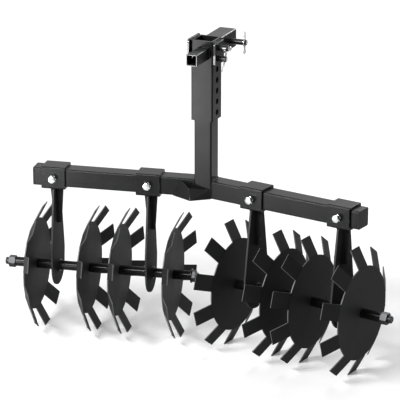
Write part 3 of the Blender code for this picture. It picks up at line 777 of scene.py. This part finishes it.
# Beam, mast and gusset
def drilled_post(name, section, first, count, body):
    """Upright square tube with a row of pin holes through its sides, downwards from the first height."""
    low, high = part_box(name)
    centre = Vector((0, MAST.y, (low.z + high.z) / 2))
    holes = [
        drill(PIN_HOLE, 1.5 * section[0], "X", (0, 0, first - HOLE_PITCH * index - centre.z))
        for index in range(count)
    ]
    mesh = fettled(tube_shape(*section, high.z - low.z, "Z"), cuts=holes, rim=RIM)
    piece(name, mesh, COAT, body, Matrix.Translation(centre))


def beam(side, where):
    reach = BEAM_END - CAP - SEAT
    shape = tube_shape(TUBE, BEAM_CORNER, TUBE - 2 * BEAM_WALL, BEAM_CORNER - BEAM_WALL, reach, "X")
    place = along_gang(side, reach / 2, BEAM_Z)
    block = slab_shape(round_square(TUBE + 2 * SEAT, MAST_SLOT_CORNER), 2 * TUBE, "Z")
    block.transform(place.inverted() @ Matrix.Translation((0, MAST.y, BEAM_Z)))
    piece(f"beam_{where}", fettled(shape, cuts=[block], rim=RIM), COAT, "frame", place)


def end_cap(side, where):
    """Plug with a pillowed face and a soft rim."""
    flange = slab_shape(round_square(TUBE, BEAM_CORNER), CAP, "X")
    plug = slab_shape(round_square(TUBE - 2 * BEAM_WALL - 2 * SEAT, PLUG_CORNER), PLUG_LENGTH, "X")
    plug.transform(Matrix.Translation((-side * PLUG_SETBACK, 0, 0)))
    mesh = fettled(flange, joins=[plug], rim=PLUG_RIM, segments=4)
    piece(f"end_cap_{where}", mesh, PLUG, "frame", along_gang(side, BEAM_END - CAP / 2, BEAM_Z))


def mast():
    section = TUBE, MAST_CORNER, TUBE - 2 * MAST_WALL, MAST_BORE_CORNER
    top_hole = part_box("mast_tube")[1].z + PIN + SEAT - HOLE_PITCH
    drilled_post("mast_tube", section, top_hole, MAST_HOLES, "frame")


def gusset():
    """Folded plate of the solid, with its bend and rims rounded."""
    shape = cleaned(frame["nodes"]["centre_gusset"].data, 0.00002, radians(1.0))
    mesh = fettled(mesh_of("gusset", shape), rim=GUSSET_RIM, segments=3, rim_angle=radians(25.0))
    piece("centre_gusset", mesh, COAT, "frame")


# Hitch head
def sleeve():
    section = SLEEVE, SLEEVE_CORNER, SLEEVE_BORE, SLEEVE_BORE_CORNER
    drilled_post("mast_sleeve", section, middle("height_pin_upper").z, HOLE_COUNT, "hitch_head")


def socket_tube(name, section, hole_radius, way, setback, rim, cut=False):
    """Square tube along Y with sawn ends, and a cross hole set back from its mouth."""
    low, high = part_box(name)
    length = high.y - low.y
    shape = tube_shape(*section, length, "Y", sawn=True)
    hole_place = (0, way * (length / 2 - setback), 0)
    hole = drill(hole_radius, 1.5 * section[0], "X", hole_place, cut=cut)
    mesh = fettled(shape, cuts=[hole], rim=rim)
    piece(name, mesh, COAT, "hitch_head", Matrix.Translation((low + high) / 2))


def drawbar():
    section = TUBE, DRAWBAR_CORNER, TUBE - 2 * DRAWBAR_WALL, DRAWBAR_BORE_CORNER
    socket_tube("drawbar_tube", section, PIN_HOLE, 1, HITCH_PIN_SETBACK, RIM)


def accessory_tube():
    section = ACCESSORY, ACCESSORY_CORNER, ACCESSORY - 2 * ACCESSORY_WALL, ACCESSORY_BORE_CORNER
    # The cross hole's walls are marked as cut faces, so they carry a painted highlight
    socket_tube(
        "accessory_tube", section, ACCESSORY_HOLE, -1, ACCESSORY_HOLE_SETBACK, ACCESSORY_RIM, cut=True,
    )


def side_plate(where, corner):
    name = f"side_plate_{where}"
    low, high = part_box(name)
    outline = [(high.y, low.z), (high.y, high.z)]
    outline += arc(corner, pi / 2, pi, 6, (low.y + corner, high.z - corner))
    outline += arc(corner, pi, 1.5 * pi, 6, (low.y + corner, low.z + corner))
    shape = slab_shape(outline, high.x - low.x, "X", cut=True)
    holes = [
        drill(PIN_HOLE, TUBE, "X", (0, middle(name).y, middle(name).z))
        for name in ("height_pin_upper", "height_pin_lower")
    ]
    mesh = fettled(shape, cuts=holes, rim=PLATE_RIM, segments=3)
    piece(name, mesh, COAT, "hitch_head", Matrix.Translation(((low.x + high.x) / 2, 0, 0)))


# Pins and clips
def pin(name, body, clip_name, turn):
    """Headed pin with a bevelled head and nose, cross-drilled for its clip."""
    low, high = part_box(name)
    axis = middle(name)
    seat = low.x + PIN_HEAD_THICKNESS
    profile = [
        (low.x, 0.0), (low.x, PIN_HEAD - 0.0016), (low.x + 0.0005, PIN_HEAD - 0.0006),
        (low.x + 0.0015, PIN_HEAD), (seat - 0.0008, PIN_HEAD), (seat, PIN_HEAD - 0.0008), (seat, PIN),
        (high.x - 0.0020, PIN), (high.x - 0.0006, PIN - 0.0012), (high.x, PIN - 0.0022), (high.x, 0.0),
    ]
    hole = drill(CLIP_HOLE, 3 * PIN, "Z", steps=24)
    hole.transform(Matrix.Translation((middle(clip_name).x, 0, 0)) @ Matrix.Rotation(turn, 4, "X"))
    mesh = fettled(lathe_shape(profile, sawn=True), cuts=[hole])
    piece(name, mesh, STEEL, body, Matrix.Translation((0, axis.y, axis.z)))


def clip_line(shift):
    """Middle line of an R-clip in its own plane: straight leg, bulb and waisted leg."""
    top = CLIP_LENGTH / 2 - shift
    bulb_z = -CLIP_LENGTH / 2 - shift + CLIP_BULB + CLIP_WIRE
    opening = asin(CLIP_NECK / 2 / CLIP_BULB)
    points = [(0.0, top), (0.0, bulb_z + CLIP_BULB + 2 * CLIP_WIRE)]
    points += arc(CLIP_BULB, pi / 2 - opening, opening - 1.5 * pi, BULB_STEPS, (-CLIP_NECK / 2, bulb_z))
    for step in range(WAIST_STEPS + 1):
        z = -CLIP_SPAN / 2 + CLIP_SPAN * step / WAIST_STEPS
        bump = (1 + cos(2 * pi * z / CLIP_SPAN)) / 2
        points.append((-CLIP_NECK - (CLIP_WAIST - CLIP_NECK) * bump, z))
    points.append((-CLIP_NECK - CLIP_FLARE, CLIP_SPAN / 2 + CLIP_TAIL))
    return [Vector((0.0, y, z)) for y, z in points]


def add_line(curve, places, widths, closed=False):
    """Add a line through places to a curve, with its width at each."""
    spline = curve.splines.new("POLY")
    spline.points.add(len(places) - 1)
    spline.use_cyclic_u = closed
    for point, place, width in zip(spline.points, places, widths):
        point.co = (*place, 1.0)
        point.radius = width


def clip(name, body, pin_name, turn, shift=0.0):
    """Spring wire bent to an R, with rounded ends."""
    curve = bpy.data.curves.new(name, "CURVE")
    curve.dimensions = "3D"
    curve.bevel_depth = CLIP_WIRE
    curve.bevel_resolution = 3
    curve.use_fill_caps = True
    line = clip_line(shift)
    start = (line[0] - line[1]).normalized()
    end = (line[-1] - line[-2]).normalized()
    tapered = [(line[0] - start * setback, width) for setback, width in WIRE_END]
    tapered += [(point, 1.0) for point in line[1:-1]]
    tapered += [(line[-1] - end * setback, width) for setback, width in WIRE_END[::-1]]
    add_line(curve, *zip(*tapered))
    shape = cleaned(evaluated_mesh(placed(name, curve)), 0.000001)
    axis = middle(pin_name)
    place = Matrix.Translation((middle(name).x, axis.y, axis.z)) @ Matrix.Rotation(turn, 4, "X")
    piece(name, mesh_of(name, shape, outward=True), ZINC, body, place, weighted=False)


# Gang frames
def collar(side, number, reach, body):
    shape = tube_shape(COLLAR, COLLAR_CORNER, TUBE + 2 * SEAT, COLLAR_BORE_CORNER, COLLAR_LENGTH, "X")
    hole = drill(BOLT + SEAT, 0.02, "Y", (0, -COLLAR / 2, 0))
    mesh = fettled(shape, cuts=[hole], rim=RIM)
    piece(f"collar_{number}", mesh, COAT, body, along_gang(side, reach, BEAM_Z))


def set_bolt(side, number, reach, body):
    """Hex set bolt with its lock nut: chamfered hexagons, washer face and threaded shank."""
    tip = TUBE / 2 + SEAT
    nut_seat = COLLAR / 2 + SEAT
    head_seat = nut_seat + LOCK_NUT + LOCK_NUT_STANDOFF
    face_end = head_seat + 0.001
    face_radius = BOLT_FLATS / 2 * 0.93
    shank_radius = BOLT - 0.0003
    shank = lathe_shape([
        (tip, 0.0), (tip, BOLT - 0.0014), (tip + 0.0012, shank_radius),
        (face_end, shank_radius), (face_end, 0.0),
    ])
    thread = thread_mesh(BOLT - 0.0006, tip + 0.0016, head_seat, BOLT_PITCH, ZINC)
    face = lathe_shape([(head_seat, 0.0), (head_seat, face_radius), (face_end, face_radius), (face_end, 0.0)])
    head = hex_shape(head_seat + 0.0006, head_seat + BOLT_HEAD, BOLT_FLATS, crowned=(False, True))
    nut = hex_shape(nut_seat, nut_seat + LOCK_NUT, BOLT_FLATS, bore=BOLT)
    nut.transform(Matrix.Rotation(radians(19.0), 4, "X"))
    roll = Matrix.Rotation(radians(7.0 * number), 4, "X")
    place = along_gang(side, reach, BEAM_Z) @ Matrix.Rotation(-pi / 2, 4, "Z") @ roll
    mesh = merged([shank, thread, face, head, nut])
    piece(f"set_bolt_{number}", mesh, ZINC, body, place, sharp=radians(32.0), weighted=False)


def leg(side, number, reach, body):
    """Flared plate with a tapering rib on each face, and a bearing ring in its foot."""
    top = BEAM_RISE - COLLAR / 2 - SEAT
    touch = atan2(LEG_FLARE.y, LEG_FLARE.x) - acos(LEG_FOOT / LEG_FLARE.length)
    half_top = LEG_TOP_WIDTH / 2
    outline = arc(LEG_FOOT, -pi - touch, touch, 48)
    outline += [tuple(LEG_FLARE), (half_top, top), (-half_top, top), (-LEG_FLARE.x, LEG_FLARE.y)]
    plate = slab_shape(outline, LEG, "X", cut=True)
    face = LEG / 2
    ribs = slab_shape([
        (-face - BACK_RIB_FOOT, RIB_FOOT_HEIGHT), (face + RIB_FOOT, RIB_FOOT_HEIGHT),
        (face + RIB_TOP, top), (-face - BACK_RIB_TOP, top),
    ], RIB, "Y")
    mesh = fettled(plate, cuts=[drill(BUSH + SEAT, 0.03, steps=64)], joins=[ribs], rim=PLATE_RIM, segments=3)
    place = along_gang(side, reach, AXLE.z)
    piece(f"leg_{number}", mesh, PLATE_COAT, body, place)
    half = BUSH_LENGTH / 2
    profile = ring_profile(-half, half, SPACER + SEAT, BUSH, BUSH_EDGE, BUSH_EDGE)
    piece(f"bush_{number}", lathe_shape(profile, 64, True), STEEL, body, place)
    leg_seams(body, place, top)


def leg_seams(body, place, top):
    """Welds of a leg to its collar, of its ribs, and round its bush."""
    face = LEG / 2
    seam_z = top - SEAT * 0.5
    corner = LEG_TOP_WIDTH / 2 - 0.003
    for way, rib in ((1, RIB_TOP), (-1, BACK_RIB_TOP)):
        x = way * face
        near = way * (face + 0.0005)
        tip = way * (face + rib - 0.001)
        for hand in (-1, 1):
            flank = hand * RIB / 2
            weld(body, [(x, hand * corner, seam_z), (x, hand * (RIB / 2 + 0.001), seam_z)], place)
            weld(body, [(near, flank, RIB_FOOT_HEIGHT + 0.002), (near, flank, top - 0.003)], place)
            weld(body, [(x, flank, seam_z), (tip, flank, seam_z)], place)
    for x in (-face, face):
        weld_ring(body, BUSH + 0.0003, x, place)


# Turning gangs
def shaft(side, where, body):
    start = SPACER_START - WASHER_THICKNESS - INNER_NUT - INNER_STUB
    end = SPACER_END + OUTER_NUT + OUTER_STUB
    root = ROD - 0.0007
    step = 0.002
    nose = root - 0.0016
    rod = lathe_shape([
        (start, 0.0), (start, nose), (start + 0.0016, root), (SPACER_START, root), (SPACER_START + step, ROD),
        (SPACER_END - step, ROD), (SPACER_END, root), (end - 0.0016, root), (end, nose), (end, 0.0),
    ])
    threads = [
        thread_mesh(root - 0.0001, start + 0.0014, SPACER_START - 0.001, SHAFT_PITCH, STEEL),
        thread_mesh(root - 0.0001, SPACER_END + 0.001, end - 0.0014, SHAFT_PITCH, STEEL),
    ]
    turn = HERE if side > 0 else Matrix.Rotation(pi, 4, "Z")
    piece(f"gang_shaft_{where}", merged([rod, *threads]), STEEL, body, along_gang(side, 0, AXLE.z) @ turn,
          sharp=radians(30.0), weighted=False)


def ring_profile(start, end, inner, outer, edge, inner_edge):
    """Section of a ring along X, with its outer and inner edges broken."""
    return [
        (start + edge, outer), (end - edge, outer), (end, outer - edge), (end, inner + inner_edge),
        (end - inner_edge, inner), (start + inner_edge, inner),
        (start, inner + inner_edge), (start, outer - edge),
    ]


def spacers(side, where, body):
    gap = SEAT + DISC_THICKNESS / 2
    starts = [SPACER_START] + [hub + gap for hub in HUBS]
    ends = [hub - gap for hub in HUBS] + [SPACER_END]
    for index, (start, end) in enumerate(zip(starts, ends)):
        low, high = sorted((side * start, side * end))
        profile = ring_profile(low, high, ROD + SEAT, SPACER, SPACER_EDGE, SPACER_EDGE / 2)
        mesh = lathe_shape(profile, closed=True)
        piece(f"spacer_tube_{where}_{index + 1}", mesh, COAT, body, along_gang(side, 0, AXLE.z))


def nuts(side, where, body):
    place = along_gang(side, 0, AXLE.z)
    bore = ROD + SEAT
    washer_end = SPACER_START - SEAT
    washer_start = washer_end - WASHER_THICKNESS
    inner_end = washer_start - SEAT
    outer_start = SPACER_END + SEAT
    low, high = sorted((side * washer_start, side * washer_end))
    washer = lathe_shape(ring_profile(low, high, bore, WASHER, WASHER_EDGE, WASHER_EDGE / 2), closed=True)
    piece(f"shaft_washer_{where}", washer, STEEL, body, place)
    for name, start, end in (
        (f"inner_nut_{where}", inner_end - INNER_NUT, inner_end),
        (f"outer_nut_{where}", outer_start, outer_start + OUTER_NUT),
    ):
        low, high = sorted((side * start, side * end))
        nut = hex_shape(low, high, NUT_FLATS, bore=bore)
        nut.transform(Matrix.Rotation(pi / 6, 4, "X"))
        piece(name, nut, STEEL, body, place, sharp=radians(32.0), weighted=False)


def on_finger(face, along):
    """Whether a face of the flat blade reaches the fold in a direction."""
    return face.calc_center_median().dot(along) > 0.6 * DISC_RADIUS or len(face.verts) > 40


def blade_outline():
    """Ten straight-sided fingers with flat tips, one pointing straight down, and round notch bottoms."""
    half = FINGER_WIDTH / 2
    root = DISC_RADIUS - NOTCH_DEPTH
    step = 2 * pi / FINGERS
    root_reach = sqrt(root**2 - half**2)
    between = step / 2 - asin(half / root)
    points = []
    for index in range(FINGERS):
        turn = -pi / 2 + index * step
        along, across = Vector((cos(turn), sin(turn))), Vector((-sin(turn), cos(turn)))
        corners = (root_reach, -half), (DISC_RADIUS, -half), (DISC_RADIUS, half), (root_reach, half)
        points += [tuple(along * reach + across * aside) for reach, aside in corners]
        points += arc(root, turn + step / 2 - between, turn + step / 2 + between, 10)[1:-1]
    return points


def folded_back(reach):
    """How far a finger lies off the blade's flat at a reach from the middle, round its fold."""
    slope = DISC_DEPTH / (DISC_RADIUS - FOLD)
    past = reach - FOLD
    if past < -FOLD_ROUNDING:
        return 0.0
    if past > FOLD_ROUNDING:
        return slope * past
    return slope * (past + FOLD_ROUNDING) ** 2 / (4 * FOLD_ROUNDING)


def blade_shape():
    """One blade of the left gang: a notched flat disc whose fingers are bent back towards +X."""
    curve = bpy.data.curves.new("blade", "CURVE")
    curve.dimensions = "2D"
    curve.fill_mode = "BOTH"
    for outline in (blade_outline(), circle(ROD + SEAT, ROUND_STEPS)):
        add_line(curve, [(x, y, 0.0) for x, y in outline], [1.0] * len(outline), closed=True)
    shape = cleaned(evaluated_mesh(placed("blade", curve)), 0.000001, radians(0.5))
    turns = [-pi / 2 + index * 2 * pi / FINGERS for index in range(FINGERS)]
    for turn in turns:
        along = Vector((cos(turn), sin(turn), 0.0))
        for step in range(7):
            place = along * (FOLD + FOLD_ROUNDING * (step / 3 - 1))
            near = [face for face in shape.faces if on_finger(face, along)]
            parts = [part for face in near for part in (face, *face.edges, *face.verts)]
            bmesh.ops.bisect_plane(shape, geom=list(dict.fromkeys(parts)), plane_co=place, plane_no=along)
    for vert in shape.verts:
        y, z = vert.co.x, vert.co.y
        reach = max(y * cos(turn) + z * sin(turn) for turn in turns)
        vert.co = (folded_back(reach), y, z)
    mesh = mesh_of("blade", shape, outward=True)
    name_faces(mesh)
    sheet = placed("blank", mesh)
    wall = sheet.modifiers.new("wall", "SOLIDIFY")
    # The blade's edges are marked as cut faces, so they carry a painted highlight
    wall.material_offset_rim = CUT
    wall.thickness = DISC_THICKNESS
    wall.offset = 0.0
    wall.use_even_offset = True
    return fettled(evaluated_mesh(sheet), rim=BLADE_RIM, rim_angle=radians(50.0))


def disc(side, number, reach, body, blade):
    turn = HERE if side < 0 else Matrix.Rotation(pi, 4, "Z")
    piece(f"disc_{number}", blade.copy(), BLADE, body, along_gang(side, reach, AXLE.z) @ turn)


# Build
mast()
gusset()
sleeve()
drawbar()
accessory_tube()
side_plate("left", 0.010)
side_plate("right", 0.005)
for pin_name, pin_body, clip_name, clip_body, tilt, slip in (
    ("height_pin_upper", "upper_pin", "height_clip_upper", "upper_clip", radians(77.3), 0.0),
    ("height_pin_lower", "lower_pin", "height_clip_lower", "lower_clip", radians(148.0), -0.004),
    ("hitch_pin", "drawbar_pin", "hitch_clip", "drawbar_clip", 0.0, 0.0),
):
    pin(pin_name, pin_body, clip_name, tilt)
    clip(clip_name, clip_body, pin_name, tilt, slip)

BLADE_MESH = blade_shape()
for where, side in SIDES.items():
    beam(side, where)
    end_cap(side, where)
    held, turning = f"gang_frame_{where}", f"gang_{where}"
    shaft(side, where, turning)
    spacers(side, where, turning)
    nuts(side, where, turning)
    for index, reach in enumerate(COLLARS):
        number = 2 - index if side < 0 else 3 + index
        collar(side, number, reach, held)
        set_bolt(side, number, reach, held)
        leg(side, number, reach, held)
    for index, reach in enumerate(HUBS):
        disc(side, 4 - index if side < 0 else 5 + index, reach, turning, BLADE_MESH)


def mast_seams():
    """Welds round the foot of the mast, along the gusset and between the beam halves."""
    half = TUBE / 2
    top = BEAM_Z + half
    back = MAST.y + half
    vee = AXLE.y + half / cos(SWEEP) - 0.0012
    for side in SIDES.values():
        x = side * (half + 0.0004)
        front = AXLE.y - half / cos(SWEEP) - abs(x) * tan(SWEEP)
        weld("frame", [(x, front + SEAM_INSET, top), (x, back - SEAM_INSET, top)])
        weld("frame", [(x, front, top - 0.006), (x, front, BEAM_Z - half + SEAM_INSET)])
        x = side * 0.004
        weld("frame", [(x, vee, top - SEAM_INSET), (x, vee, top - TUBE + SEAM_INSET)])
    weld("frame", [(-half + 0.003, back + 0.0004, top), (half - 0.003, back + 0.0004, top)])


def head_seams():
    """Welds of drawbar, accessory tube and side plates to the sleeve."""
    half = SLEEVE / 2
    lift = 0.0002
    for name, y, inset in (
        ("drawbar_tube", MAST.y + half + lift, SEAM_INSET),
        ("accessory_tube", MAST.y - half - lift, 0.003),
    ):
        low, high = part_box(name)
        for x in (low.x, high.x):
            weld("hitch_head", [(x, y, low.z + inset), (x, y, high.z - inset)])
        for z in (low.z, high.z):
            weld("hitch_head", [(low.x + inset, y, z), (high.x - inset, y, z)])
    for where, side in SIDES.items():
        low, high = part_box(f"side_plate_{where}")
        x, z = side * (half + lift), low.z - lift
        weld("hitch_head", [(x, max(low.y, MAST.y - half + SLEEVE_CORNER), z), (x, high.y - 0.006, z)])


mast_seams()
head_seams()
lay_welds()


# Floor, light and camera
WHITE = (1.0, 1.0, 1.0, 1.0)
FLOOR_COLOUR = (0.62, 0.62, 0.62, 1.0)
FLOOR_REACH = 14.0
GLOW_REACH = (0.6, 3.4)
GLOW = (0.14, 0.80)
FLOOR_GLEAM = 0.08
ROOM_LEVEL = 0.30
CAMERA_PLACE = (2.2719, -5.3179, 2.3974)
CAMERA_AIM = Vector((-0.0185, 0.0406, 0.4035))


def floor():
    """Pale floor that keeps the shadow. What the camera and glossy faces see of it glows a little."""
    shape = bmesh.new()
    bmesh.ops.create_grid(shape, x_segments=2, y_segments=2, size=FLOOR_REACH)
    ground = placed("floor", mesh_of("floor", shape))
    ground.location.z = -0.0005
    made = bpy.data.materials.new("pale_floor")
    made.use_nodes = True
    tree = made.node_tree
    shader = tree.nodes["Principled BSDF"]
    set_inputs(shader, Base_Color=FLOOR_COLOUR, Roughness=0.85, Specular_IOR_Level=0.1, Emission_Color=WHITE)
    seen = tree.nodes.new("ShaderNodeLightPath").outputs
    away = tree.nodes.new("ShaderNodeVectorMath")
    away.operation = "LENGTH"
    tree.links.new(own_place(tree), away.inputs[0])
    glow = stretch(tree, away.outputs["Value"], *GLOW_REACH, *GLOW)
    seen_glow = maths(tree, "MULTIPLY", seen["Is Camera Ray"], glow)
    mirrored = maths(tree, "MAXIMUM", seen["Is Glossy Ray"], seen["Is Transmission Ray"])
    gloss_glow = maths(tree, "MULTIPLY", mirrored, FLOOR_GLEAM)
    tree.links.new(maths(tree, "MAXIMUM", seen_glow, gloss_glow), shader.inputs["Emission Strength"])
    ground.data.materials.append(made)


def room_light():
    """White room to the eye and in reflections, and a dimmer one as a light."""
    world = bpy.data.worlds.new("studio")
    bpy.context.scene.world = world
    world.use_nodes = True
    tree = world.node_tree
    back = set_inputs(tree.nodes["Background"], Color=WHITE)
    seen = tree.nodes.new("ShaderNodeLightPath").outputs
    share = maths(tree, "MAXIMUM", seen["Is Camera Ray"], seen["Is Glossy Ray"])
    share = maths(tree, "MAXIMUM", share, seen["Is Transmission Ray"])
    tree.links.new(stretch(tree, share, 0.0, 1.0, ROOM_LEVEL, 1.0), back.inputs["Strength"])


def lamp(name, azimuth, elevation, distance, size, power, aim=(0.0, 0.0, 0.45)):
    """Soft box at an azimuth (0 in front, positive to the right) and elevation, facing its aim."""
    a, e = radians(azimuth), radians(elevation)
    back = Vector((sin(a) * cos(e), -cos(a) * cos(e), sin(e)))
    data = bpy.data.lights.new(name, "AREA")
    data.shape = "RECTANGLE"
    data.size, data.size_y = size
    data.energy = power
    made = placed(name, data)
    made.location = Vector(aim) + back * distance
    made.rotation_euler = back.to_track_quat("Z", "Y").to_euler()


floor()
room_light()
lamp("low_front_left", -30.0, 0.0, distance=1.5, size=(0.55, 0.58), power=15.0, aim=(0.0, 0.0, 0.34))
lamp("key", -27.5, 35.0, distance=2.05, size=(1.4, 0.16), power=74.0)
lamp("top_back", 157.0, 39.0, distance=2.4, size=(2.4, 1.6), power=45.0)
lamp("edge_back", 170.0, 26.0, distance=2.4, size=(0.7, 0.25), power=14.0, aim=(0.0, 0.0, 0.6))

camera_data = bpy.data.cameras.new("camera")
camera_data.sensor_width = 36.0
camera_data.lens = 201.6
camera_data.clip_end = 100.0
camera = placed("camera", camera_data)
camera.location = CAMERA_PLACE
camera.rotation_euler = (camera.location - CAMERA_AIM).to_track_quat("Z", "Y").to_euler()
bpy.context.scene.camera = camera
bpy.context.scene.view_settings.view_transform = "Standard"
